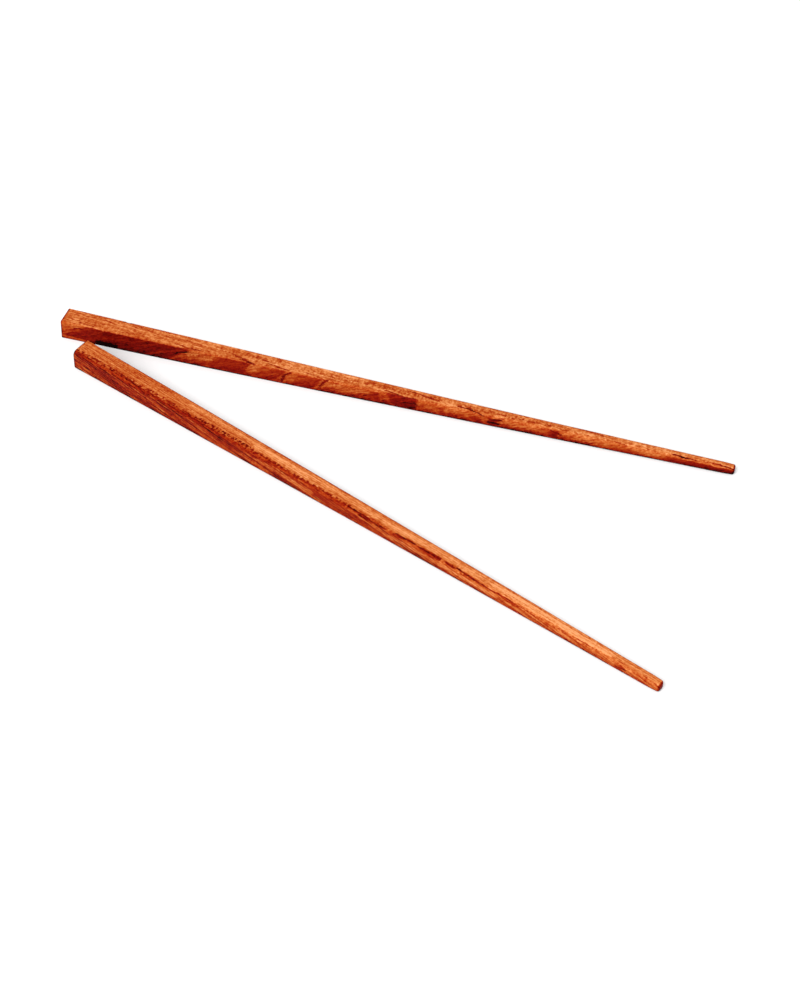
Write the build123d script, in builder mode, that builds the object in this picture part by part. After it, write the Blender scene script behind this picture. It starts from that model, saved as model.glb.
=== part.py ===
from build123d import *
import os

# A pair of wooden chopsticks lying open on a table, the square heads close together and
# the tips apart. Millimetres. +Z is up and the table is at Z = 0. The origin is on the
# table, in the middle of the pair's outline, and the pair is seen from the -Y side.

# Each stick, measured from its square head to its eating tip
length = 240.0
head_width = 7.7
tip_width = 3.2
square_length = 45.0  # stretch from the head that stays square
round_start = 170.0  # past here the long edges have their full rounding
tip_arris = 1.2  # rounding of the long edges near the tip
nose_length = 3.5  # last stretch, rubbed narrower all round
nose_width = 3.0  # width at the end of the nose
planed_off = 0.05  # taken off the underside, so that it rests on a true flat
tip_rim = 0.6  # rounding round the end of the nose

# What differs between the two sticks
far_head_arris = 0.45  # rounding of the long edges on the square stretch
near_head_arris = 0.8
far_head_rim = 0.4  # rounding round the cut end of the head
near_head_rim = 0.75
far_bow = -0.4  # how far the middle stands off a straight line, positive away from the viewer
near_bow = 0.35

# How they lie
far_angle = -17.4  # from +X, seen from above
opening_angle = 20.6  # between the two sticks
near_lead = 12.0  # the near head lies this far ahead of the far one, along the far stick
near_aside = 13.6  # and this far to its side, from centre line to centre line

# Share of its width at which a section's corners all but meet in a circle
fullest_arris = 0.49


def taper(distance):
    """The stick's width, which falls evenly from the head to the tip."""
    return head_width + (tip_width - head_width) * distance / length


def across(lie, distance, bow):
    """The plane square to the stick, centred on its section before the underside is planed."""
    share = distance / length
    aside = 4 * bow * share * (1 - share)
    centre = lie.from_local_coords((distance, aside, taper(distance) / 2 - planed_off))
    return Plane(origin=centre, x_dir=lie.y_dir, z_dir=lie.x_dir)


def end_rim(stick, lie, end):
    """The edges round the cut face at the head, end 0, or at the tip, end -1."""
    return stick.faces().sort_by(Axis(lie.origin, lie.x_dir))[end].edges()


def carve(lie, head_arris, head_rim, bow):
    """One stick, lofted through rounded squares whose corners soften towards the tip."""
    nose_start = length - nose_length
    stations = (
        (0, head_arris),
        (square_length, head_arris),
        ((square_length + round_start) / 2, (head_arris + tip_arris) / 2),
        (round_start, tip_arris),
        (nose_start, tip_arris),
    )
    with BuildPart() as stick:
        for distance, arris in stations:
            width = taper(distance)
            with BuildSketch(across(lie, distance, bow)):
                RectangleRounded(width, width, min(arris, fullest_arris * width))
        loft()
        for distance, width in ((nose_start, taper(nose_start)), (length, nose_width)):
            with BuildSketch(across(lie, distance, bow)):
                RectangleRounded(width, width, min(tip_arris, fullest_arris * width))
        loft(ruled=True)
        split(bisect_by=lie, keep=Keep.TOP)
        fillet(end_rim(stick, lie, 0), head_rim)
        fillet(end_rim(stick, lie, -1), tip_rim)
    return stick


os.makedirs("parts", exist_ok=True)

far_lie = Plane.XY.rotated((0, 0, far_angle))
near_head = far_lie.from_local_coords((near_lead, -near_aside, 0))
near_lie = Plane(origin=near_head).rotated((0, 0, far_angle - opening_angle))

far_chopstick = carve(far_lie, far_head_arris, far_head_rim, far_bow)
near_chopstick = carve(near_lie, near_head_arris, near_head_rim, near_bow)

outline = far_chopstick.part.bounding_box().add(near_chopstick.part.bounding_box())
to_origin = Location((-outline.center().X, -outline.center().Y, 0))

far_chopstick.part.move(to_origin)
far_chopstick.part.label = "far_chopstick"
export_step(far_chopstick.part, "parts/far_chopstick.step")

near_chopstick.part.move(to_origin)
near_chopstick.part.label = "near_chopstick"
export_step(near_chopstick.part, "parts/near_chopstick.step")
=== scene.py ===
"""A pair of wooden chopsticks on a pale floor, with their figure, pores, wear and bow."""

import math

import bpy
from mathutils import Matrix, Vector, noise


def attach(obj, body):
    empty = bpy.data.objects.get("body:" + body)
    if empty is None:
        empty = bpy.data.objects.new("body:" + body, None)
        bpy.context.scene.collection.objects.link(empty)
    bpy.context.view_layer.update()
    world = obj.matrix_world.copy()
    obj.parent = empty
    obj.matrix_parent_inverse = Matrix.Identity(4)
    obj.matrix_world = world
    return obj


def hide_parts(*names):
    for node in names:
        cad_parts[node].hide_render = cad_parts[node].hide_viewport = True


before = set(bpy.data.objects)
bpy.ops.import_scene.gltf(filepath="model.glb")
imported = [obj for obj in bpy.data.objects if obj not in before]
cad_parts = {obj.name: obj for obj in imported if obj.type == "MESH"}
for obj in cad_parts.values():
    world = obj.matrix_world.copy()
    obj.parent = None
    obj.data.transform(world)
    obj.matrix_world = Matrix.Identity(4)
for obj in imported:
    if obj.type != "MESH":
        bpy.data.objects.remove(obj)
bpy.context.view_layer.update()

MM = 0.001

# The shape of each stick, in millimetres from its head
LENGTH = 240.0
HEAD_WIDTH = 7.7
TIP_WIDTH = 3.2
SQUARE_LENGTH = 45.0
ROUND_START = 170.0
TIP_ARRIS = 1.2
NOSE_LENGTH = 3.5
NOSE_WIDTH = 3.0
PLANED_OFF = 0.05
TIP_RIM = 0.75
CUT_REACH = 20.0  # stretch over which the head's cut goes from leaning to square
LOWER_ARRIS = 0.7  # share of the rounding that the two lower long edges have
LEAST_ARRIS = 0.05  # rounding that the rims leave to every long edge
WORN_HEAD = 3.0  # stretch at the head where handling has rounded the upper front edge further
CHIP_FLOOR = 0.3  # share of a chip's half length over which it has its full depth
CHIP_TURN = (0.5, 0.95)  # how squarely the surface faces a chip where it begins and is deepest

# The mesh
RING_STEP = 0.4
FLAT_STEPS = 9
ARRIS_STEPS = 6
RIM_STEPS = 5
CAP_RINGS = (0.72, 0.42, 0.16)
RUBBED = 0.04  # deepest that hand finishing has gone below the true surface
RUBBED_ALONG = 9.0  # distance from one hollow of it to the next, along the stick
RUBBED_ACROSS = 2.5
CUT_FLATNESS = 0.01  # points of a solid this close to its foremost one lie in the head's cut

# What differs between the sticks, in millimetres and degrees:
# angle: how the stick lies, from +X, seen from above
# head_arris: rounding of the long edges on the square stretch
# back_arris: share of the rounding that the upper back edge has
# head_rim: rounding round the cut end of the head
# cut: where the head's cut face stands at the middle of the underside, and how much further
#     from the head for each millimetre to the back and for each millimetre up
# bow: how far the middle stands off a straight line, positive away from the viewer
# head_wear: how much larger wear has made the radius of the upper front edge at the head
# seed: keeps the noises of the two sticks apart
# tone: depth of the plain wood's colour at the head and at the tip
# chips: in the upper back edge, each with its distance from the head, half length and depth
STICKS = {
    "far_chopstick": {
        "angle": -17.4,
        "head_arris": 0.45,
        "back_arris": 1.0,
        "head_rim": 0.4,
        "cut": (0.0, 0.0, 0.059),
        "bow": -0.4,
        "head_wear": 0.35,
        "seed": 3.0,
        "tone": (0.36, 0.26),
        "chips": ((23.4, 1.2, 0.15),),
    },
    "near_chopstick": {
        "angle": -38.0,
        "head_arris": 0.8,
        "back_arris": 0.4,
        "head_rim": 0.75,
        "cut": (-0.34, -0.056, 0.058),
        "bow": 0.35,
        "head_wear": 1.2,
        "seed": 41.0,
        "tone": (0.42, 0.24),
        "chips": (),
    },
}

# How quickly a layer stops at its dark end and along its upper and lower edge, in millimetres
END_SOFT = 2.2
EDGE_SOFT = 0.8

# The photograph's camera
CAMERA_ELEVATION = 45.4
CAMERA_DISTANCE = 0.674
CAMERA_AIM = (0.0044, -0.0035, 0.0)
FOCAL_PIXELS = 2066.8
FRAME_PIXELS = 1000.0
SENSOR = 36.0

# The floor and the lights, in metres and watts
FLOOR_CORNERS = ((-1, -1), (1, -1), (1, 1), (-1, 1))
FLOOR_REACH = 3.0
FLOOR_CELLS = 3.0
FLOOR_TONE = (0.66, 0.68)
FLOOR_ROUGHNESS = 0.7
KEY_PLACE = (-0.75, -1.2, 1.55)
KEY_SIZE = 1.4
KEY_POWER = 62.0
WORLD_STRENGTH = 0.95


def smooth(low, high, value):
    """0 below low, 1 above high, and an even S between."""
    share = min(max((value - low) / (high - low), 0.0), 1.0)
    return share * share * (3 - 2 * share)


def taper(x):
    return HEAD_WIDTH + (TIP_WIDTH - HEAD_WIDTH) * x / LENGTH


def rim_inset(from_end, radius):
    """How far a rounded rim has drawn the outline in, this far from the end face."""
    if from_end >= radius:
        return 0.0
    return radius - math.sqrt(radius**2 - (radius - from_end) ** 2)


def section_size(x, spec):
    """Width and arris radius of the stick's section at x, with the nose and both rims."""
    width = taper(x)
    share = (x - SQUARE_LENGTH) / (ROUND_START - SQUARE_LENGTH)
    arris = spec["head_arris"] + (TIP_ARRIS - spec["head_arris"]) * min(max(share, 0.0), 1.0)
    nose_start = LENGTH - NOSE_LENGTH
    if x > nose_start:
        along_nose = (x - nose_start) / NOSE_LENGTH
        width = taper(nose_start) + (NOSE_WIDTH - taper(nose_start)) * along_nose
    inset = rim_inset(x, spec["head_rim"]) + rim_inset(LENGTH - x, TIP_RIM)
    return width - 2 * inset, max(arris - inset, LEAST_ARRIS)


def ring_points(width, arris, front, back_share):
    """The section's outline as (y, z) from its centre, anticlockwise, with outward directions.

    The radius is front at the upper front edge, and back_share of arris at the upper back one.
    """
    points = []
    half = width / 2
    radii = (arris * back_share, front, arris * LOWER_ARRIS, arris * LOWER_ARRIS)
    for corner, radius in enumerate(radii):
        turn = math.radians(90 * corner)
        along = (-math.sin(turn), math.cos(turn))
        out = (math.cos(turn), math.sin(turn))
        low = -(half - radii[corner - 1])
        high = half - radius
        for k in range(FLAT_STEPS):
            t = low + (high - low) * (k + 0.5) / FLAT_STEPS
            points.append((out[0] * half + along[0] * t, out[1] * half + along[1] * t, out))
        centre = ((out[0] + along[0]) * high, (out[1] + along[1]) * high)
        for k in range(ARRIS_STEPS + 1):
            a = turn + math.radians(90) * k / ARRIS_STEPS
            way = (math.cos(a), math.sin(a))
            points.append((centre[0] + radius * way[0], centre[1] + radius * way[1], way))
    return points


def stations(head_rim):
    """Distances from the head at which the stick gets a ring, closer together round the rims."""
    turns = [1 - math.cos(math.radians(90) * k / RIM_STEPS) for k in range(RIM_STEPS + 1)]
    body_length = LENGTH - head_rim - TIP_RIM
    steps = int(body_length / RING_STEP)
    head = [head_rim * turn for turn in turns]
    body = [head_rim + body_length * k / steps for k in range(1, steps)]
    tip = [LENGTH - TIP_RIM * turn for turn in reversed(turns)]
    return head + body + tip


def chipped(x, way, chips):
    """How far chips in the upper back edge have taken the surface in at this point."""
    facing = smooth(*CHIP_TURN, (way[0] + way[1]) / math.sqrt(2))
    taken = 0.0
    for at, reach, deep in chips:
        taken += deep * facing * (1 - smooth(CHIP_FLOOR, 1.0, abs(x - at) / reach))
    return taken


def stick_mesh(name, spec, place, angle):
    """One stick, drawn in its own axes and then laid in place.

    Its own x runs from the head, y to the back and z up, in millimetres.
    """
    vertices, faces, rings = [], [], []
    cut_at, cut_by_y, cut_by_z = spec["cut"]
    for x in stations(spec["head_rim"]):
        width, arris = section_size(x, spec)
        aside = 4 * spec["bow"] * (x / LENGTH) * (1 - x / LENGTH)
        lift = taper(x) / 2 - PLANED_OFF
        near_head = max(1 - x / CUT_REACH, 0.0)
        first = len(vertices)
        front = arris + spec["head_wear"] * (1 - smooth(0.0, WORN_HEAD, x))
        for y, z, way in ring_points(width, arris, front, spec["back_arris"]):
            cell = (x / RUBBED_ALONG, y / RUBBED_ACROSS + spec["seed"], z / RUBBED_ACROSS)
            worn = noise.noise(Vector(cell)) * 0.5 + 0.5
            inward = RUBBED * worn + chipped(x, way, spec["chips"])
            y -= way[0] * inward
            z = max(z - way[1] * inward + lift, 0.0)
            cut = cut_at + cut_by_y * y + cut_by_z * z
            vertices.append((x + cut * near_head, y + aside, z))
        rings.append(range(first, len(vertices)))
    for ring, following in zip(rings, rings[1:]):
        count = len(ring)
        for k in range(count):
            after = (k + 1) % count
            faces.append((ring[k], ring[after], following[after], following[k]))
    close_end(vertices, faces, rings[0], at_tip=False)
    close_end(vertices, faces, rings[-1], at_tip=True)
    lay = Matrix.Translation(place) @ Matrix.Rotation(angle, 4, "Z")
    mesh = bpy.data.meshes.new(name)
    mesh.from_pydata([lay @ (Vector(v) * MM) for v in vertices], [], faces)
    for polygon in mesh.polygons:
        polygon.use_smooth = True
    return mesh


def close_end(vertices, faces, ring, at_tip):
    """Fills an end face with shrinking rings and a centre point."""
    middle = [sum(vertices[i][axis] for i in ring) / len(ring) for axis in range(3)]
    outer = list(ring)
    for share in CAP_RINGS:
        inner = []
        for i in ring:
            inner.append(len(vertices))
            vertices.append(tuple(m + (v - m) * share for m, v in zip(middle, vertices[i])))
        for k in range(len(ring)):
            after = (k + 1) % len(ring)
            face = (outer[k], outer[after], inner[after], inner[k])
            faces.append(face if at_tip else face[::-1])
        outer = inner
    vertices.append(tuple(middle))
    for k in range(len(ring)):
        after = (k + 1) % len(ring)
        face = (outer[k], outer[after], len(vertices) - 1)
        faces.append(face if at_tip else face[::-1])


def head_place(node, direction):
    """The point on the floor under the middle of the node's cut head."""
    side = Vector((-direction.y, direction.x, 0))
    points = [v.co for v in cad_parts[node].data.vertices]
    start = min(p.dot(direction) for p in points)
    cut = [p for p in points if p.dot(direction) < start + CUT_FLATNESS * MM]
    across = [p.dot(side) for p in cut]
    return direction * start + side * (min(across) + max(across)) / 2


def make_stick(node, spec, groups):
    """A stick's mesh in its wood, in the place of the node that it replaces."""
    angle = math.radians(spec["angle"])
    direction = Vector((math.cos(angle), math.sin(angle), 0))
    place = head_place(node, direction)
    name = node.replace("chopstick", "stick")
    stick = bpy.data.objects.new(name, stick_mesh(name, spec, place, angle))
    bpy.context.scene.collection.objects.link(stick)
    stick.data.materials.append(wood(node, spec, groups, place, angle))
    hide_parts(node)
    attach(stick, "root")


class Tree:
    """A node tree, written as sums of sockets and numbers."""

    def __init__(self, tree):
        self.tree = tree
        tree.nodes.clear()

    def node(self, kind, inputs=(), **settings):
        made = self.tree.nodes.new(kind)
        for name, value in settings.items():
            setattr(made, name, value)
        for key, value in dict(inputs).items():
            self.feed(made.inputs[key], value)
        return made

    def feed(self, socket, value):
        if isinstance(value, bpy.types.NodeSocket):
            self.tree.links.new(value, socket)
        else:
            socket.default_value = value

    def math(self, operation, *values):
        return self.node("ShaderNodeMath", dict(enumerate(values)), operation=operation).outputs[0]

    def limit(self, value):
        """The value, held between 0 and 1."""
        return self.math("MINIMUM", self.math("MAXIMUM", value, 0.0), 1.0)

    def vector(self, operation, *values):
        made = self.node("ShaderNodeVectorMath", dict(enumerate(values)), operation=operation)
        return made.outputs["Value" if operation in ("DOT_PRODUCT", "LENGTH") else "Vector"]

    def noise(self, vector, scale=1.0, detail=2.0, roughness=0.5):
        inputs = {"Vector": vector, "Scale": scale, "Detail": detail, "Roughness": roughness}
        return self.node("ShaderNodeTexNoise", inputs).outputs[0]

    def spread(self, value, low, high, to_low=0.0, to_high=1.0, kind="SMOOTHSTEP"):
        """What goes from to_low to to_high while the value goes from low to high."""
        inputs = {0: value, 1: low, 2: high, 3: to_low, 4: to_high}
        made = self.node("ShaderNodeMapRange", inputs, interpolation_type=kind, clamp=False)
        return made.outputs[0]

    def join(self, x, y, z):
        return self.node("ShaderNodeCombineXYZ", {0: x, 1: y, 2: z}).outputs[0]


def new_group(name, vectors, numbers):
    """An empty node group that returns a depth, with its node tree helper and its inputs."""
    group = bpy.data.node_groups.new(name, "ShaderNodeTree")
    for label in vectors:
        group.interface.new_socket(label, in_out="INPUT", socket_type="NodeSocketVector")
    for label in numbers:
        group.interface.new_socket(label, in_out="INPUT", socket_type="NodeSocketFloat")
    group.interface.new_socket("Depth", in_out="OUTPUT", socket_type="NodeSocketFloat")
    t = Tree(group)
    return group, t, t.node("NodeGroupInput").outputs


def streak_group():
    """A soft streak from one place to another on the skin, whose width changes on the way."""
    numbers = ("From width", "To width", "Soft", "Depth")
    group, t, given = new_group("streak", ("Place", "From", "To"), numbers)
    way = t.vector("SUBTRACT", given["To"], given["From"])
    off = t.vector("SUBTRACT", given["Place"], given["From"])
    along = t.vector("DOT_PRODUCT", off, way)
    share = t.limit(t.math("DIVIDE", along, t.vector("DOT_PRODUCT", way, way)))
    nearest = t.node("ShaderNodeVectorMath", {0: way, "Scale": share}, operation="SCALE")
    gap = t.vector("LENGTH", t.vector("SUBTRACT", off, nearest.outputs["Vector"]))
    width = t.spread(share, 0.0, 1.0, given["From width"], given["To width"], "LINEAR")
    inner = t.math("MULTIPLY", width, t.math("SUBTRACT", 1.0, given["Soft"]))
    mask = t.spread(gap, width, inner)
    t.node("NodeGroupOutput", {0: t.math("MULTIPLY", mask, given["Depth"])})
    return group


def layer_group():
    """A growth layer cut through by the face: it darkens along the stick and ends on a lean."""
    bounds = ("Start", "End", "Start lean", "End lean", "Over", "Under")
    numbers = (*bounds, "Rise", "From depth", "To depth")
    group, t, given = new_group("layer", ("Place",), numbers)
    place = t.node("ShaderNodeSeparateXYZ", {0: given["Place"]}).outputs
    x, down = place[0], t.math("MULTIPLY", place[1], -1.0)
    start = t.math("MULTIPLY_ADD", down, given["Start lean"], given["Start"])
    end = t.math("MULTIPLY_ADD", down, given["End lean"], given["End"])
    risen = t.math("ADD", start, given["Rise"])
    opening = t.spread(x, start, risen)
    closing = t.spread(x, end, t.math("SUBTRACT", end, END_SOFT))
    upper = t.math("MULTIPLY", given["Over"], -1.0)
    over = t.spread(down, upper, t.math("ADD", upper, EDGE_SOFT))
    under = t.spread(down, given["Under"], t.math("SUBTRACT", given["Under"], EDGE_SOFT))
    depth = t.spread(x, start, end, given["From depth"], given["To depth"], "LINEAR")
    for mask in (opening, closing, over, under):
        depth = t.math("MULTIPLY", depth, mask)
    t.node("NodeGroupOutput", {0: depth})
    return group


# Figure of each stick, drawn on its skin. A place is (x, g): x from the head and g from the
# ridge between the top and the front, positive over the top and negative down the front.
# Depths go from 0, the palest wood, to 1, black.

# (start x, end x, start lean, end lean, over, under, rise, depth at start, depth at end).
# Starts and ends are at the ridge, and the leans say how they move for each millimetre down.
# A layer reaches this far over the ridge and this far under it, and comes up over its rise.
LAYERS = {
    "far_chopstick": (
        (4.0, 51.0, -1.6, -1.3, 0.4, 7.8, 9.0, 0.74, 0.78),
        (9.0, 50.5, 0.4, -1.3, 0.4, 7.8, 8.0, 0.82, 0.79),
        (54.0, 73.0, -1.0, -0.5, 0.2, 6.5, 8.0, 0.62, 0.74),
        (73.0, 86.5, -0.8, -0.9, 0.2, 6.5, 4.0, 0.54, 0.70),
        (87.0, 99.5, -0.6, -0.7, 0.2, 6.5, 3.0, 0.56, 0.70),
        (110.0, 119.0, 0.5, 0.2, -0.3, 5.5, 5.0, 0.60, 0.76),
        (116.5, 132.5, 0.5, 0.0, 0.6, 5.5, 5.0, 0.74, 0.84),
        (134.0, 142.0, 0.5, 0.2, -0.8, 5.0, 4.0, 0.56, 0.68),
        (144.0, 154.0, 1.0, 0.5, -1.2, 5.0, 4.0, 0.56, 0.70),
        (153.0, 161.5, 0.6, -0.3, -0.6, 4.6, 3.0, 0.72, 0.84),
        (171.0, 182.5, 0.3, -0.2, 0.2, 4.4, 7.0, 0.58, 0.80),
        (190.0, 207.0, 0.3, 0.2, -0.4, 4.0, 9.0, 0.46, 0.52),
        (208.0, 246.0, 0.3, 0.0, -0.2, 3.6, 12.0, 0.62, 0.80),
    ),
    "near_chopstick": (
        (-4.0, 68.0, 0.3, 5.0, 0.8, 8.0, 11.0, 0.56, 0.62),
        (9.0, 62.0, -1.0, 1.0, -2.6, 7.6, 12.0, 0.66, 0.68),
        (104.0, 134.0, 0.5, 1.5, 0.2, 6.0, 10.0, 0.50, 0.54),
        (176.0, 190.0, 0.5, 1.0, 0.0, 4.6, 6.0, 0.42, 0.50),
        (219.0, 228.5, 0.4, 0.3, -0.2, 4.2, 6.0, 0.44, 0.66),
        (226.0, 245.0, 0.4, 0.0, -0.8, 3.8, 5.0, 0.44, 0.56),
    ),
}

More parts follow.
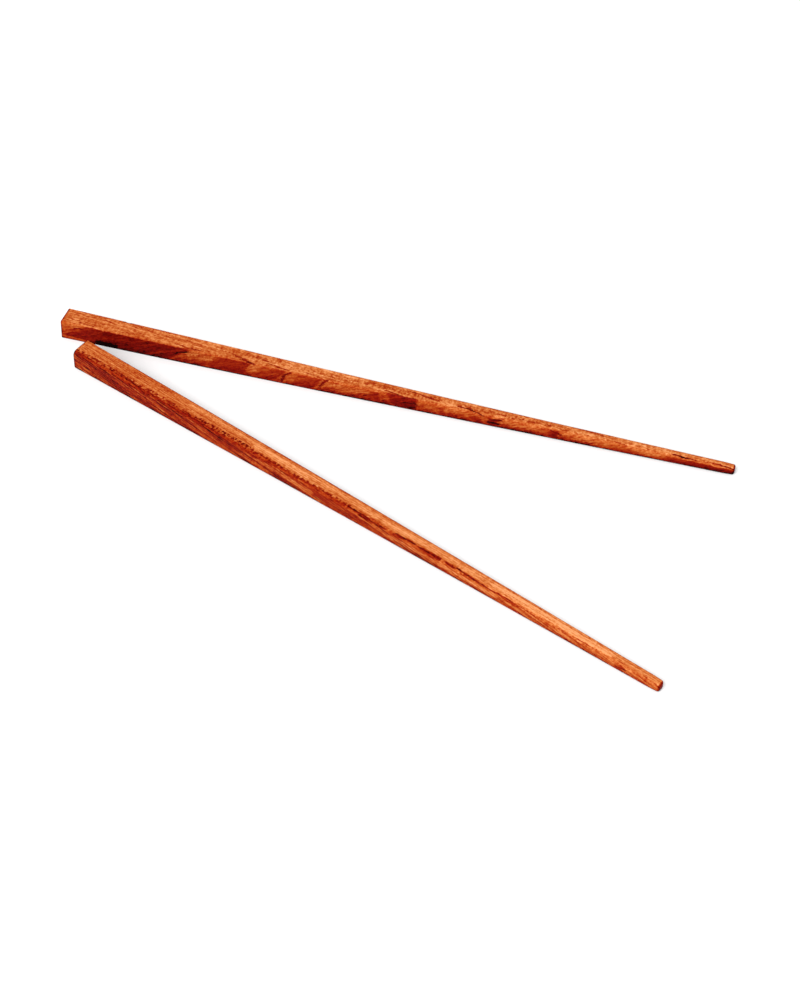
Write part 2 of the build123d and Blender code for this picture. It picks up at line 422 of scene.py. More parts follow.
# (from, to, width at from, width at to, softness, depth)
STREAKS = {
    "far_chopstick": (
        # painted shade: black in the hollow of the chip in the upper back edge
        ((22.2, 6.90), (24.6, 6.85), 0.60, 0.60, 0.4, 1.00),
        ((1.0, 3.00), (2.5, -3.00), 4.00, 4.00, 0.95, 0.48),
        ((0.5, -6.00), (6.5, -3.40), 0.54, 0.60, 0.65, 0.66),
        ((3.5, -3.20), (8.5, -1.00), 0.54, 0.50, 0.65, 0.70),
        ((5.5, -1.90), (9.0, -1.50), 0.48, 0.48, 0.7, 0.80),
        ((9.5, -4.40), (14.0, -2.60), 0.60, 0.50, 0.65, 0.76),
        # painted shadow: the near stick's head shading the far stick's lower front, over wood that
        # is dark already
        ((14.4, -6.30), (20.6, -6.50), 3.60, 2.90, 0.95, 1.12),
        ((7.0, 1.50), (12.5, 0.70), 0.48, 0.54, 0.65, 0.66),
        ((1.0, 3.40), (6.0, 2.20), 0.42, 0.48, 0.65, 0.52),
        ((15.0, 5.40), (20.5, 4.00), 0.42, 0.42, 0.65, 0.58),
        ((24.5, 6.60), (30.5, 5.20), 0.38, 0.42, 0.65, 0.56),
        ((33.0, 6.90), (39.5, 5.80), 0.42, 0.48, 0.65, 0.62),
        ((30.0, 5.30), (35.5, 3.90), 0.42, 0.48, 0.65, 0.52),
        ((27.0, 3.00), (37.0, 2.00), 0.36, 0.48, 0.65, 0.50),
        ((42.0, 4.50), (52.5, 3.20), 0.42, 0.42, 0.65, 0.52),
        ((43.0, 1.40), (47.5, 0.50), 0.42, 0.48, 0.65, 0.64),
        ((30.0, -0.80), (47.0, -0.90), 0.50, 0.90, 0.9, 0.80),
        ((43.0, -3.40), (48.2, -1.30), 0.50, 0.80, 0.8, 1.00),
        ((46.5, 0.20), (52.5, 0.50), 0.50, 0.48, 0.7, 0.72),
        ((52.5, -6.20), (61.5, -3.80), 0.48, 0.54, 0.65, 0.66),
        ((60.0, -1.70), (63.5, -0.30), 0.54, 0.48, 0.7, 0.72),
        ((63.5, 2.60), (70.0, 0.80), 0.38, 0.60, 0.65, 0.64),
        ((68.0, 0.90), (72.6, -0.40), 0.66, 0.66, 0.7, 0.84),
        ((65.0, -4.40), (69.5, -2.80), 0.90, 0.70, 0.9, 0.72),
        ((72.0, 3.40), (79.0, 2.40), 0.38, 0.42, 0.65, 0.54),
        ((77.0, 1.60), (85.0, 0.30), 0.42, 0.54, 0.65, 0.66),
        ((78.5, -0.90), (81.5, -0.30), 0.48, 0.48, 0.65, 0.60),
        ((86.0, -0.50), (83.8, -2.00), 0.80, 1.00, 0.9, 0.84),
        ((83.6, -2.20), (82.4, -5.40), 1.20, 1.50, 0.9, 0.84),
        ((91.0, 1.20), (97.0, 0.20), 0.38, 0.46, 0.65, 0.60),
        ((99.2, -0.10), (97.6, -1.80), 0.90, 0.90, 0.8, 0.84),
        ((97.6, -1.80), (96.2, -4.60), 0.90, 1.20, 0.9, 0.82),
        ((99.5, 4.60), (104.0, 3.40), 0.38, 0.42, 0.65, 0.58),
        ((112.0, -3.60), (116.5, -2.00), 0.90, 1.10, 0.9, 0.78),
        ((114.0, 5.40), (121.0, 4.20), 0.50, 0.60, 0.9, 0.54),
        ((116.5, 3.40), (119.5, 1.60), 0.60, 0.60, 0.9, 0.52),
        ((119.5, 1.10), (124.0, 0.40), 0.60, 0.50, 0.65, 0.76),
        ((124.0, 0.20), (128.5, -1.20), 0.50, 0.60, 0.7, 0.84),
        ((126.5, -2.60), (129.5, -2.60), 1.20, 1.20, 0.9, 0.92),
        ((129.5, -1.40), (131.0, -2.80), 0.60, 0.70, 0.65, 0.90),
        ((122.0, 4.60), (127.0, 4.10), 0.36, 0.38, 0.65, 0.58),
        ((127.0, 3.40), (138.0, 1.70), 0.42, 0.54, 0.65, 0.66),
        ((134.5, 1.90), (138.0, 1.50), 0.42, 0.54, 0.65, 0.72),
        ((132.0, 4.50), (139.0, 4.00), 0.36, 0.42, 0.65, 0.56),
        ((137.5, 3.00), (141.0, 1.00), 0.70, 0.90, 0.9, 0.44),
        ((145.5, 1.00), (149.5, 0.90), 0.54, 0.48, 0.65, 0.78),
        ((149.5, 0.70), (154.5, -0.90), 0.48, 0.55, 0.7, 0.88),
        ((156.6, -1.90), (160.6, -1.40), 1.10, 0.90, 0.8, 0.90),
        ((156.4, -3.20), (159.8, -3.00), 1.60, 1.40, 0.9, 0.94),
        ((159.5, -0.60), (161.5, -0.30), 0.50, 0.48, 0.8, 0.62),
        ((156.0, 3.90), (158.0, 3.40), 0.42, 0.42, 0.65, 0.54),
        ((171.0, 2.60), (176.0, 2.00), 0.50, 0.60, 0.9, 0.42),
        ((178.0, -0.60), (181.5, -1.90), 0.70, 0.90, 0.9, 0.86),
        ((183.0, 3.40), (190.5, 2.60), 0.36, 0.42, 0.65, 0.54),
        ((190.0, 2.70), (196.0, 2.00), 0.38, 0.48, 0.65, 0.56),
        ((197.0, 1.80), (200.0, 0.40), 0.70, 0.80, 0.9, 0.42),
        ((199.0, 0.90), (203.5, 0.00), 0.36, 0.42, 0.65, 0.60),
        ((218.8, 0.70), (221.5, 0.45), 0.45, 0.55, 0.7, 0.80),
        ((221.2, 0.40), (223.8, 0.20), 0.55, 0.50, 0.7, 0.92),
        ((223.5, 0.20), (227.5, 0.10), 0.60, 0.42, 0.7, 0.82),
        ((229.0, -2.20), (240.0, -1.70), 0.60, 0.80, 0.9, 0.84),
        ((230.5, 0.40), (236.0, 0.30), 0.36, 0.36, 0.65, 0.58),
        ((234.5, 0.50), (240.0, -0.20), 0.42, 0.60, 0.65, 0.80),
    ),
    "near_chopstick": (
        ((1.2, 1.60), (2.0, 1.30), 0.42, 0.45, 0.7, 0.84),
        ((2.2, 1.00), (3.8, 0.60), 0.45, 0.50, 0.7, 0.84),
        ((3.0, 0.60), (14.0, -0.60), 0.48, 0.66, 0.65, 0.66),
        ((14.0, -0.40), (21.5, -1.10), 0.50, 0.60, 0.65, 0.76),
        ((2.0, -1.20), (12.0, -2.90), 0.46, 0.60, 0.65, 0.70),
        ((5.0, -1.90), (20.0, -4.20), 0.48, 0.50, 0.65, 0.78),
        ((9.0, -3.60), (24.0, -6.00), 0.60, 0.70, 0.65, 0.80),
        ((1.5, -3.80), (13.0, -6.00), 0.42, 0.60, 0.65, 0.62),
        # painted shade: dark line along the foot of the front
        ((17.0, -6.20), (28.0, -6.70), 0.80, 0.60, 0.9, 0.92),
        ((18.0, -2.40), (21.5, -4.20), 0.50, 0.60, 0.9, 0.78),
        ((15.0, 2.40), (24.0, 1.50), 0.42, 0.54, 0.65, 0.62),
        ((24.0, 1.50), (30.5, 0.70), 0.66, 0.66, 0.7, 0.82),
        ((29.5, 0.40), (36.0, 0.00), 0.60, 0.60, 0.7, 0.84),
        ((33.0, 1.70), (36.5, 0.60), 0.48, 0.54, 0.65, 0.72),
        ((36.0, 0.00), (44.0, -0.90), 0.60, 0.50, 0.65, 0.76),
        ((43.5, 1.90), (47.0, 0.70), 0.54, 0.60, 0.65, 0.72),
        ((44.5, -0.80), (52.0, -1.80), 0.80, 0.70, 0.8, 0.82),
        ((50.0, -2.20), (57.0, -2.90), 0.60, 0.50, 0.65, 0.80),
        ((28.0, -3.20), (36.0, -4.80), 1.00, 0.80, 0.9, 0.74),
        # painted shade: dark line along the foot of the front
        ((30.0, -6.10), (41.0, -6.30), 0.50, 0.50, 0.9, 0.86),
        ((42.0, -3.80), (50.0, -5.20), 0.50, 0.60, 0.9, 0.68),
        ((48.0, 0.90), (60.0, 0.20), 0.48, 0.66, 0.65, 0.78),
        ((52.0, -5.00), (60.0, -5.80), 0.50, 0.50, 0.9, 0.74),
        ((60.0, -0.10), (70.0, -1.40), 0.66, 0.50, 0.7, 0.80),
        ((70.0, -1.40), (76.0, -2.00), 0.50, 0.50, 0.7, 0.82),
        ((76.0, -2.00), (82.0, -3.10), 0.50, 0.60, 0.65, 0.80),
        ((80.0, -3.00), (90.0, -3.80), 0.48, 0.42, 0.65, 0.60),
        ((60.0, -3.00), (70.0, -4.20), 0.50, 0.60, 0.65, 0.76),
        ((70.0, -4.20), (80.0, -5.20), 0.50, 0.60, 0.65, 0.76),
        ((88.0, -3.80), (94.5, -3.90), 0.42, 0.54, 0.7, 0.74),
        ((96.0, 2.80), (104.0, 2.40), 0.36, 0.38, 0.65, 0.46),
        ((101.0, 1.00), (112.0, 1.20), 0.42, 0.54, 0.65, 0.62),
        ((106.0, 0.30), (124.0, 0.50), 0.54, 0.55, 0.65, 0.68),
        ((121.5, 0.90), (130.0, 0.80), 0.66, 0.72, 0.75, 0.84),
        ((126.0, 0.20), (133.5, 0.00), 0.78, 0.70, 0.75, 0.90),
        ((134.2, 0.30), (136.4, 0.20), 0.78, 0.70, 0.75, 0.88),
        ((139.5, 0.30), (143.5, 0.40), 0.60, 0.60, 0.75, 0.80),
        ((140.5, 1.00), (147.8, 1.10), 0.70, 0.90, 0.75, 0.86),
        ((149.8, 0.80), (158.0, 0.90), 0.84, 1.08, 0.75, 0.82),
        ((151.0, 0.10), (158.0, 0.20), 0.65, 0.72, 0.75, 0.72),
        ((159.5, 0.90), (163.5, 0.70), 0.60, 0.79, 0.75, 0.76),
        ((164.5, 1.00), (169.5, 0.50), 0.72, 0.72, 0.75, 0.84),
        ((169.5, 0.40), (176.0, 0.10), 0.72, 0.72, 0.75, 0.82),
        ((176.0, 0.20), (186.0, 0.10), 0.72, 0.60, 0.75, 0.78),
        ((186.0, 0.00), (192.0, 0.00), 0.48, 0.36, 0.65, 0.66),
        ((183.5, -0.70), (187.0, -1.00), 0.80, 0.60, 0.9, 0.68),
        ((203.0, 0.30), (206.5, 0.10), 0.38, 0.38, 0.65, 0.60),
        ((210.0, 0.40), (214.5, 0.20), 0.38, 0.38, 0.65, 0.60),
        ((209.0, -0.80), (213.0, -1.10), 0.42, 0.48, 0.65, 0.58),
        ((225.3, -1.90), (227.8, -1.30), 0.75, 0.75, 0.9, 0.86),
        ((225.2, 0.90), (226.6, 0.80), 0.66, 0.60, 0.9, 0.56),
        ((234.0, 0.80), (235.4, 0.70), 0.60, 0.54, 0.9, 0.50),
        ((237.0, 0.10), (240.0, -0.20), 0.54, 0.66, 0.9, 0.54),
    ),
}

# Paler wood inside or beside the marks, and painted highlights on the near head's rounded corner:
# (from, to, width at from, width at to, softness, share of the depth that it takes away)
LIGHTS = {
    "far_chopstick": (
        ((0.5, -6.6), (9.0, -6.9), 0.9, 0.9, 0.9, 0.42),
        ((20.0, -3.6), (26.0, -1.8), 1.0, 0.8, 0.9, 0.10),
        ((28.0, -5.2), (32.0, -3.4), 0.7, 0.6, 0.9, 0.10),
        ((34.0, -5.6), (39.0, -3.4), 0.8, 0.7, 0.9, 0.12),
        ((46.0, -4.6), (57.0, -2.4), 0.9, 0.9, 0.9, 0.30),
        ((16.0, 6.0), (34.0, 3.2), 1.0, 0.9, 0.9, 0.35),
        ((54.0, 5.6), (62.0, 5.0), 1.2, 1.0, 0.9, 0.30),
        ((83.0, 4.2), (112.0, 3.8), 1.9, 1.7, 0.9, 0.40),
        ((184.0, 2.2), (192.0, 1.2), 1.2, 0.9, 0.9, 0.50),
    ),
    "near_chopstick": (
        # painted highlights: three pale spots on the rounded corner of the near head
        ((0.2, 2.0), (0.7, 1.9), 0.60, 0.5, 0.9, 0.75),
        ((2.4, 2.1), (3.1, 1.9), 0.55, 0.45, 0.9, 0.65),
        ((4.8, 2.4), (5.6, 2.0), 0.50, 0.45, 0.9, 0.50),
        ((28.5, -1.0), (33.0, -2.0), 0.8, 0.7, 0.9, 0.36),
        ((35.0, -2.0), (42.0, -3.8), 0.9, 0.9, 0.9, 0.30),
        ((1.0, -2.6), (7.0, -5.6), 0.6, 0.8, 0.9, 0.30),
        ((0.5, -5.6), (9.0, -7.0), 1.0, 0.8, 0.9, 0.35),
        ((50.0, 5.2), (172.0, 2.6), 1.4, 1.7, 0.9, 0.42),
        ((80.0, 3.6), (102.0, 3.4), 2.1, 2.0, 0.9, 0.68),
        ((84.0, -1.4), (106.0, -2.2), 1.3, 1.6, 0.9, 0.44),
        ((138.0, -1.6), (160.0, -1.6), 1.2, 1.3, 0.9, 0.50),
        ((161.0, -1.6), (180.0, -1.5), 1.5, 1.4, 0.9, 0.60),
        ((184.0, -1.5), (222.0, -1.2), 1.2, 1.1, 0.9, 0.18),
        ((178.0, 2.4), (222.0, 1.4), 1.6, 1.4, 0.9, 0.75),
    ),
}

# Rows of open pores where a face just grazes a layer: (from, to, width, depth)
PORES = {
    "far_chopstick": (
        ((100.0, 2.5), (138.0, 2.2), 2.2, 0.52),
        ((146.0, 1.6), (190.0, 1.2), 2.0, 0.52),
        ((60.0, 3.5), (100.0, 3.0), 2.2, 0.46),
    ),
    "near_chopstick": (
        ((2.0, 1.4), (60.0, 1.3), 1.7, 0.78),
        ((58.0, 1.4), (82.0, 1.4), 2.1, 0.84),
        ((80.0, 1.2), (124.0, 0.9), 1.7, 0.78),
    ),
}
ROW_SOFT = 0.7  # softness of every row

# How the growth layers and the colour lie on each stick:
# top_slope: how far the layers' lines run to the back for each millimetre along the top
# side_slope: how far they run up for each millimetre along the sides
# top_apart, side_apart: how far apart the lines are, in millimetres
# waver: how far the lines stray, in lines
# ribs: depth of the even ribs between them
# side_lines: strength of all lines on the sides against the top, at the head and at the tip
# damping: change of the fine detail's strength on a mark of full depth
# ripple: depth of the ripples across the top, ripple figure with the sheen that light catches on
# it painted in
# low_shade: painted shade, how much deeper the sides are made at the table, at the head and at the
# tip
# heart: how far under the ridge the redder wood begins, or over it where negative, at the
#     head, past it and at the tip
# redder_and_shaded: how much deeper that wood is, at the head and at the tip; painted shade for
#     the dimmer light on the front and back, together with the wood's own redder colour
GRAIN = {
    "far_chopstick": {
        "top_slope": -0.08,
        "side_slope": 0.40,
        "top_apart": 1.1,
        "side_apart": 1.2,
        "waver": 0.9,
        "ribs": 0.02,
        "side_lines": (0.9, 0.6),
        "damping": -0.6,
        "ripple": 0.5,
        "low_shade": (0.26, 0.44),
        "heart": (1.4, -0.3, -0.3),
        "redder_and_shaded": (0.15, 0.15),
    },
    "near_chopstick": {
        "top_slope": -0.02,
        "side_slope": -0.17,
        "top_apart": 0.72,
        "side_apart": 1.0,
        "waver": 0.4,
        "ribs": 0.06,
        "side_lines": (2.0, 1.4),
        "damping": -0.2,
        "ripple": 0.12,
        "low_shade": (0.07, 0.16),
        "heart": (-1.9, -1.9, -0.3),
        "redder_and_shaded": (0.27, 0.18),
    },
}

# The stretches, in millimetres from the head, over which these go from the head's value to
# the next one
SIDES_CHANGE = (120.0, 190.0)  # side_lines and redder
LOW_SHADE_CHANGE = (60.0, 200.0)
HEART_FIRST = (0.0, 15.0)
HEART_CHANGE = (90.0, 200.0)

# Noises in the wood: cells for each millimetre along the stick and across it, a shift that
# keeps them apart, detail and roughness
NOISES = {
    "wander": (0.35, 0.9, 0.0, 3.0, 0.6),
    "fray": (1.2, 3.0, 9.0, 2.0, 0.6),
    "pits": (1.15, 0.8, 5.0, 1.0, 0.5),
    "grit": (1.5, 2.8, 2.0, 1.0, 0.5),
    "mottle": (0.08, 0.2, 3.0, 3.0, 0.6),
    "pores": (0.0, 2.6, 6.0, 1.0, 0.5),
}

# How far two of them move the marks, in millimetres
FRAY_ALONG = 3.2
FRAY_ACROSS = 0.8
WANDER_ACROSS = 1.3

# Growth layers: cells for each millimetre along the stick, half the width of a vein, and
# where a layer starts and ends, both in what the noise gives
LAYER_ALONG = 0.04
VEIN_HALF = 0.035
LAYER_RANGE = (0.38, 0.62)

# Fibres: how much finer they are than the layers, cells for each millimetre along the stick,
# a shift, and where a pore starts and is open
FIBRE_FINER = 1.8
FIBRE_ALONG = 0.5
FIBRE_SHIFT = 7
FIBRE_RANGE = (0.40, 0.66)
PITS_RANGE = (0.41, 0.56)

# What the fine pattern adds to the depth
VEIN_DEPTH = 0.12
LAYER_DEPTH = 0.20
FIBRE_DEPTH = 0.18
GRIT_DEPTH = 0.5
MOTTLE_DEPTH = 0.40
LINES_LEVEL = -0.12  # with this the lines darken and pale about as much
DETAIL_LEVEL = -0.07
PALEST_LINES = -0.11

# How the redder, partly shaded wood blends in, in millimetres
SIDE_BLEND = 0.15
HEART_WANDER = 1.2
HEART_PITS = 0.8
HEART_BLEND = 1.4
BACK_BLEND = (-0.3, 0.2)

# Ripples, ripple figure with painted sheen: cells for each millimetre along the stick and across
# it
RIPPLE_ALONG = 0.9
RIPPLE_ACROSS = 0.35

# Painted shade: deepening towards the table, over a height as a share of half the width, and a
# darker line just above it, over a height in millimetres
LOW_SHADE_RANGE = (1.4, 0.2)
CONTACT_SHADE_RANGE = (1.1, 0.1)
CONTACT_SHADE_DEPTH = 0.38

# Cut ends drink more oil, at the head and at the tip, and the rim behind a cut is darker, over a
# distance in millimetres. The other ranges say how squarely the surface faces along the stick.
SOAKED_DEPTH = (0.30, 0.42)
SOAKED_RANGE = (0.15, 0.6)
RIM_DEPTH = 0.36
RIM_RANGE = (0.9, 0.2)
RIM_FACING = (0.95, 0.7)
END_FACING = (0.7, 0.95)
MARKED_CHANGE = -0.8  # change of all this on a mark of full depth

# End grain on the cuts: how steeply its bands stand, their cells for each millimetre, the
# ranges of both noises with the depths they give, and what is added from the head to the tip
BAND_STEEP = 0.45
BAND_CELLS = 0.9
BAND_RANGE = (0.3, 0.7, 0.44, 0.62)
PORE_RANGE = (0.5, 0.68, 0.0, 0.2)
END_DEPTH = (0.0, 0.24)

# The oiled surface, a little rougher and lower in the pores
ROUGHNESS = 0.38
PORE_ROUGHNESS = 0.12
SPECULAR = 0.012
BUMP_STRENGTH = 0.4
BUMP_HEIGHT = 0.04 * MM

# Wood from its palest to its darkest, against depth
TONES = (
    (0.00, (0.571, 0.236, 0.098)),
    (0.14, (0.490, 0.166, 0.050)),
    (0.29, (0.388, 0.102, 0.023)),
    (0.45, (0.300, 0.049, 0.006)),
    (0.60, (0.227, 0.016, 0.0015)),
    (0.76, (0.148, 0.0028, 0.0008)),
    (0.90, (0.066, 0.0008, 0.0004)),
    (1.00, (0.004, 0.000, 0.000)),
)


def figure_depth(t, node, skin, pits, groups):
    """The darkest of all marks at this place on the skin."""
    deepest = 0.0
    for values in LAYERS[node]:
        made = t.node("ShaderNodeGroup", node_tree=groups["layer"])
        t.feed(made.inputs["Place"], skin)
        for socket, value in zip(list(made.inputs)[1:], values):
            t.feed(socket, value)
        deepest = t.math("MAXIMUM", deepest, made.outputs[0])
    for mark in STREAKS[node]:
        deepest = t.math("MAXIMUM", deepest, streak(t, groups, skin, *mark))
    for start, end, width, depth in PORES[node]:
        row = streak(t, groups, skin, start, end, width, width, ROW_SOFT, depth)
        deepest = t.math("MAXIMUM", deepest, t.math("MULTIPLY", row, pits))
    return deepest


def paler(t, node, skin, groups):
    """What is left of the depth once the paler places have taken their share."""
    most = 0.0
    for mark in LIGHTS[node]:
        most = t.math("MAXIMUM", most, streak(t, groups, skin, *mark))
    return t.math("SUBTRACT", 1.0, most)


def streak(t, groups, skin, start, end, start_width, end_width, soft, depth):
    made = t.node("ShaderNodeGroup", node_tree=groups["streak"])
    values = (skin, (*start, 0), (*end, 0), start_width, end_width, soft, depth)
    for socket, value in zip(made.inputs, values):
        t.feed(socket, value)
    return made.outputs[0]


class WoodTree(Tree):
    """A wood's node tree, with the stick's own axes and the noises laid out in them."""

    def __init__(self, tree, place, angle, seed):
        super().__init__(tree)
        self.angle = angle
        self.seed = seed
        self.coords = self.node("ShaderNodeTexCoord").outputs
        lay = {
            "Vector": self.coords["Object"],
            "Location": place,
            "Rotation": (0, 0, angle),
            "Scale": (MM, MM, MM),
        }
        own = self.node("ShaderNodeMapping", lay, vector_type="TEXTURE").outputs[0]
        self.x, self.y, self.z = self.node("ShaderNodeSeparateXYZ", {0: own}).outputs

    def along(self, at_head, at_tip):
        """What changes evenly from the head to the tip."""
        return self.spread(self.x, 0.0, LENGTH, at_head, at_tip, "LINEAR")

    def speckle(self, kind):
        """One of the noises, from 0 to 1."""
        along, across, shift, detail, roughness = NOISES[kind]
        cells = self.join(
            self.math("MULTIPLY", self.x, along),
            self.math("MULTIPLY_ADD", self.y, across, self.seed + shift),
            self.math("MULTIPLY", self.z, across),
        )
        return self.noise(cells, 1.0, detail, roughness)

    def swing(self, kind):
        """One of the noises, to both sides of 0."""
        return self.math("SUBTRACT", self.speckle(kind), 0.5)


def growth_layers(t, grain, side, wander):
    """A count of the layers' lines, and the layers, veins and ribs that go with it."""
    over_top = t.math("MULTIPLY_ADD", t.x, -grain["top_slope"], t.y)
    over_top = t.math("DIVIDE", over_top, grain["top_apart"])
    over_side = t.math("MULTIPLY_ADD", t.x, -grain["side_slope"], t.z)
    over_side = t.math("DIVIDE", over_side, grain["side_apart"])
    across = t.math("MULTIPLY_ADD", side, t.math("SUBTRACT", over_side, over_top), over_top)
    across = t.math("MULTIPLY_ADD", wander, grain["waver"], across)
    along = t.math("MULTIPLY", t.x, LAYER_ALONG)
    layer = t.noise(t.join(across, along, t.seed), 1.0, 3.0, 0.65)
    vein = t.spread(t.math("ABSOLUTE", t.math("SUBTRACT", layer, 0.5)), VEIN_HALF, 0.0)
    layer = t.spread(layer, *LAYER_RANGE)
    ribs = t.math("SINE", t.math("MULTIPLY", across, 2 * math.pi))
    return across, layer, vein, ribs


def plain_depth(t, spec, grain, ridge, height, wander, pits, mottle):
    """The wood between the marks: the front and the back are deeper, partly painted shade and
    partly a redder heart.
    """
    over = t.math("MULTIPLY_ADD", pits, HEART_PITS, t.math("MULTIPLY", ridge, -1.0))
    over = t.math("MULTIPLY_ADD", wander, HEART_WANDER, over)
    at_head, past_head, at_tip = grain["heart"]
    first = t.spread(t.x, *HEART_FIRST, at_head - past_head, 0.0)
    low = t.math("ADD", first, t.spread(t.x, *HEART_CHANGE, past_head, at_tip))
    front = t.spread(t.math("SUBTRACT", over, low), 0.0, HEART_BLEND)
    back = t.spread(t.math("SUBTRACT", t.y, height), *BACK_BLEND)
    tone = t.along(*spec["tone"])
    # Painted shade on the front and back, together with their redder heart
    redder_and_shaded = t.spread(t.x, *SIDES_CHANGE, *grain["redder_and_shaded"])
    tone = t.math("MULTIPLY_ADD", t.math("MAXIMUM", front, back), redder_and_shaded, tone)
    return t.math("MULTIPLY_ADD", mottle, MOTTLE_DEPTH, tone)


def painted_shade_and_soaking(t, spec, grain, half):
    """How much deeper the wood is made: painted shade near the table, and at the ends.

    This comes with how squarely the surface faces along the stick, from 0 to 1.
    """
    # Painted shade: darker towards the table, darkest in the last millimetre above it
    low_shade = t.spread(t.math("DIVIDE", t.z, half), *LOW_SHADE_RANGE)
    low_shade = t.math("MULTIPLY", low_shade, t.spread(t.x, *LOW_SHADE_CHANGE, *grain["low_shade"]))
    deeper = t.math("ADD", low_shade, t.spread(t.z, *CONTACT_SHADE_RANGE, 0.0, CONTACT_SHADE_DEPTH))
    turned = {"Vector": t.coords["Normal"], "Angle": -t.angle}
    normal = t.node("ShaderNodeVectorRotate", turned, rotation_type="Z_AXIS").outputs[0]
    facing = t.math("ABSOLUTE", t.node("ShaderNodeSeparateXYZ", {0: normal}).outputs[0])
    soaked = t.along(*SOAKED_DEPTH)
    ends = t.math("MULTIPLY", t.spread(facing, *SOAKED_RANGE), soaked)
    cut_at, cut_by_y, cut_by_z = spec["cut"]
    from_cut = t.math("MULTIPLY_ADD", t.z, -cut_by_z, t.x)
    from_cut = t.math("MULTIPLY_ADD", t.y, -cut_by_y, from_cut)
    from_cut = t.math("SUBTRACT", from_cut, cut_at)
    rim = t.spread(from_cut, *RIM_RANGE, 0.0, RIM_DEPTH)
    rim = t.math("MULTIPLY", rim, t.spread(facing, *RIM_FACING))
    return t.math("ADD", deeper, t.math("ADD", ends, rim)), facing


def end_grain(t):
    """The depth on a cut end: growth layers edge on, with open pores between them."""
    bands = t.join(t.math("MULTIPLY_ADD", t.z, BAND_STEEP, t.y), t.seed, 0.0)
    bands = t.spread(t.noise(bands, BAND_CELLS, 2.0, 0.6), *BAND_RANGE)
    pores = t.spread(t.speckle("pores"), *PORE_RANGE)
    return t.math("ADD", t.math("ADD", bands, pores), t.along(*END_DEPTH))


def oiled_surface(t, depth, fibre, end_share):
    """The shader: colour by depth, with pores that stop at the cut ends."""
    ramp = t.node("ShaderNodeValToRGB", {0: depth})
    stops = ramp.color_ramp.elements
    while len(stops) < len(TONES):
        stops.new(0.5)
    for stop, (at, colour) in zip(stops, TONES):
        stop.position = at
        stop.color = (*colour, 1)
    relief = t.math("MULTIPLY", fibre, t.math("SUBTRACT", 1.0, end_share))
    pores = {"Height": relief, "Strength": BUMP_STRENGTH, "Distance": BUMP_HEIGHT}
    bump = t.node("ShaderNodeBump", pores)
    inputs = {
        "Base Color": ramp.outputs[0],
        "Roughness": t.math("MULTIPLY_ADD", fibre, PORE_ROUGHNESS, ROUGHNESS),
        "Specular IOR Level": SPECULAR,
        "Normal": bump.outputs[0],
    }
    shader = t.node("ShaderNodeBsdfPrincipled", inputs)
    t.node("ShaderNodeOutputMaterial", {0: shader.outputs[0]})


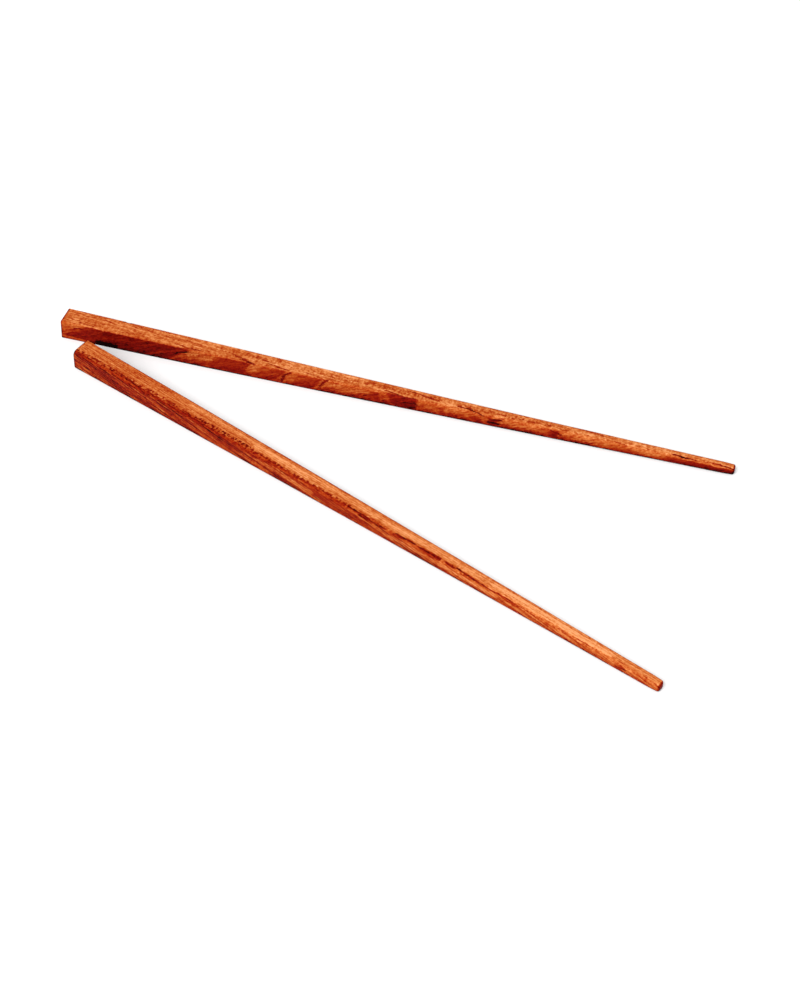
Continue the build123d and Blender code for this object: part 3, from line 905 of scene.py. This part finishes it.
def wood(node, spec, groups, place, angle):
    """Oiled red hardwood, its grain laid out in the stick's own axes."""
    material = bpy.data.materials.new(node.replace("chopstick", "wood"))
    material.use_nodes = True
    t = WoodTree(material.node_tree, place, angle, spec["seed"])
    x, y, z = t.x, t.y, t.z
    half = t.along(HEAD_WIDTH / 2, TIP_WIDTH / 2)
    ridge = t.math("SUBTRACT", t.math("ADD", y, z), half)

    # The figure, with ragged edges
    wander = t.swing("wander")
    fray = t.swing("fray")
    figure_x = t.math("MULTIPLY_ADD", fray, FRAY_ALONG, x)
    figure_g = t.math("MULTIPLY_ADD", wander, WANDER_ACROSS, ridge)
    figure_g = t.math("MULTIPLY_ADD", fray, FRAY_ACROSS, figure_g)
    skin = t.join(figure_x, figure_g, 0.0)
    pits = t.spread(t.speckle("pits"), *PITS_RANGE)
    figure = figure_depth(t, node, skin, pits, groups)

    # 1 on the front and the back, 0 on the top and underneath
    height = t.math("ABSOLUTE", t.math("SUBTRACT", z, half))
    aside = t.math("SUBTRACT", t.math("ABSOLUTE", y), height)
    side = t.spread(aside, -SIDE_BLEND, SIDE_BLEND)

    # Growth layers, which cross each face in lines of their own slope
    grain = GRAIN[node]
    across, layer, vein, ribs = growth_layers(t, grain, side, wander)

    # Pores in short dashes along the fibres, fine grit and slow changes of tone
    dashes = (t.math("MULTIPLY", across, FIBRE_FINER), t.math("MULTIPLY", x, FIBRE_ALONG))
    fibre = t.noise(t.join(*dashes, t.seed + FIBRE_SHIFT), 1.0, 2.0, 0.6)
    fibre = t.spread(fibre, *FIBRE_RANGE)
    grit = t.swing("grit")
    mottle = t.swing("mottle")

    # All fine detail together
    lines = t.math("MULTIPLY_ADD", layer, LAYER_DEPTH, LINES_LEVEL)
    lines = t.math("MULTIPLY_ADD", vein, VEIN_DEPTH, lines)
    lines = t.math("MULTIPLY_ADD", ribs, grain["ribs"], lines)
    lines = t.math("MAXIMUM", lines, PALEST_LINES)
    bolder = t.spread(x, *SIDES_CHANGE, *(value - 1 for value in grain["side_lines"]))
    lines = t.math("MULTIPLY", lines, t.math("MULTIPLY_ADD", side, bolder, 1.0))
    detail = t.math("MULTIPLY_ADD", grit, GRIT_DEPTH, DETAIL_LEVEL)
    detail = t.math("MULTIPLY_ADD", fibre, FIBRE_DEPTH, detail)
    detail = t.math("ADD", detail, lines)
    damping = t.math("MULTIPLY_ADD", figure, grain["damping"], 1.0)
    detail = t.math("MULTIPLY", detail, damping)

    # Plain wood, marks, paler places and detail
    plain = plain_depth(t, spec, grain, ridge, height, wander, pits, mottle)
    depth = t.math("MAXIMUM", plain, figure)
    depth = t.math("MULTIPLY", depth, paler(t, node, skin, groups))
    depth = t.math("ADD", detail, depth)

    # Faint ripples across the fibres of the top: ripple figure, with the sheen where light catches
    # them painted in as paler and deeper bars
    waves = (t.math("MULTIPLY", x, RIPPLE_ALONG), t.math("MULTIPLY", y, RIPPLE_ACROSS))
    ripple = t.math("SUBTRACT", t.noise(t.join(*waves, t.seed), 1.0, 1.0, 0.5), 0.5)
    on_top = t.math("MULTIPLY_ADD", side, -grain["ripple"], grain["ripple"])
    depth = t.math("ADD", t.math("MULTIPLY", ripple, on_top), depth)

    # Painted shade: the sides deepen towards the table and the last millimetre is darkest; the
    # ends are soaked
    deeper, facing = painted_shade_and_soaking(t, spec, grain, half)
    deeper = t.math("MULTIPLY", deeper, t.math("MULTIPLY_ADD", figure, MARKED_CHANGE, 1.0))
    depth = t.math("ADD", depth, deeper)

    # The cuts
    cut = end_grain(t)
    end_share = t.spread(facing, *END_FACING)
    depth = t.math("MULTIPLY_ADD", end_share, t.math("SUBTRACT", cut, depth), depth)
    oiled_surface(t, t.limit(depth), fibre, end_share)
    return material


def pale_floor():
    mesh = bpy.data.meshes.new("floor")
    corners = [(x * FLOOR_REACH, y * FLOOR_REACH, 0) for x, y in FLOOR_CORNERS]
    mesh.from_pydata(corners, [], [(0, 1, 2, 3)])
    floor = bpy.data.objects.new("floor", mesh)
    bpy.context.scene.collection.objects.link(floor)
    material = bpy.data.materials.new("pale_floor")
    material.use_nodes = True
    t = Tree(material.node_tree)
    coords = t.node("ShaderNodeTexCoord")
    cloud = t.noise(coords.outputs["Object"], FLOOR_CELLS, 2.0, 0.5)
    tone = t.spread(cloud, 0.2, 0.8, *FLOOR_TONE, "LINEAR")
    colour = t.node("ShaderNodeCombineColor", {0: tone, 1: tone, 2: tone}).outputs[0]
    inputs = {"Base Color": colour, "Roughness": FLOOR_ROUGHNESS}
    shader = t.node("ShaderNodeBsdfPrincipled", inputs)
    t.node("ShaderNodeOutputMaterial", {0: shader.outputs[0]})
    mesh.materials.append(material)


def soft_light(name, place, size, power):
    """A square softbox that faces the middle of the pair."""
    data = bpy.data.lights.new(name, "AREA")
    data.size = size
    data.energy = power
    light = bpy.data.objects.new(name, data)
    bpy.context.scene.collection.objects.link(light)
    light.location = place
    light.rotation_euler = (-Vector(place)).to_track_quat("-Z", "Y").to_euler()


def world_light(strength):
    world = bpy.data.worlds.new("studio")
    world.use_nodes = True
    t = Tree(world.node_tree)
    sky = t.node("ShaderNodeBackground", {"Color": (1, 1, 1, 1), "Strength": strength})
    t.node("ShaderNodeOutputWorld", {0: sky.outputs[0]})
    bpy.context.scene.world = world


def photo_camera():
    data = bpy.data.cameras.new("camera")
    data.sensor_width = SENSOR
    data.lens = FOCAL_PIXELS * SENSOR / FRAME_PIXELS
    data.clip_start = 0.01
    camera = bpy.data.objects.new("camera", data)
    bpy.context.scene.collection.objects.link(camera)
    elevation = math.radians(CAMERA_ELEVATION)
    back = Vector((0, -math.cos(elevation), math.sin(elevation)))
    camera.location = Vector(CAMERA_AIM) + back * CAMERA_DISTANCE
    camera.rotation_euler = (-back).to_track_quat("-Z", "Y").to_euler()
    bpy.context.scene.camera = camera


mark_groups = {"streak": streak_group(), "layer": layer_group()}
for node, spec in STICKS.items():
    make_stick(node, spec, mark_groups)

pale_floor()
soft_light("key", KEY_PLACE, KEY_SIZE, KEY_POWER)
world_light(WORLD_STRENGTH)
photo_camera()
bpy.context.scene.view_settings.view_transform = "Standard"
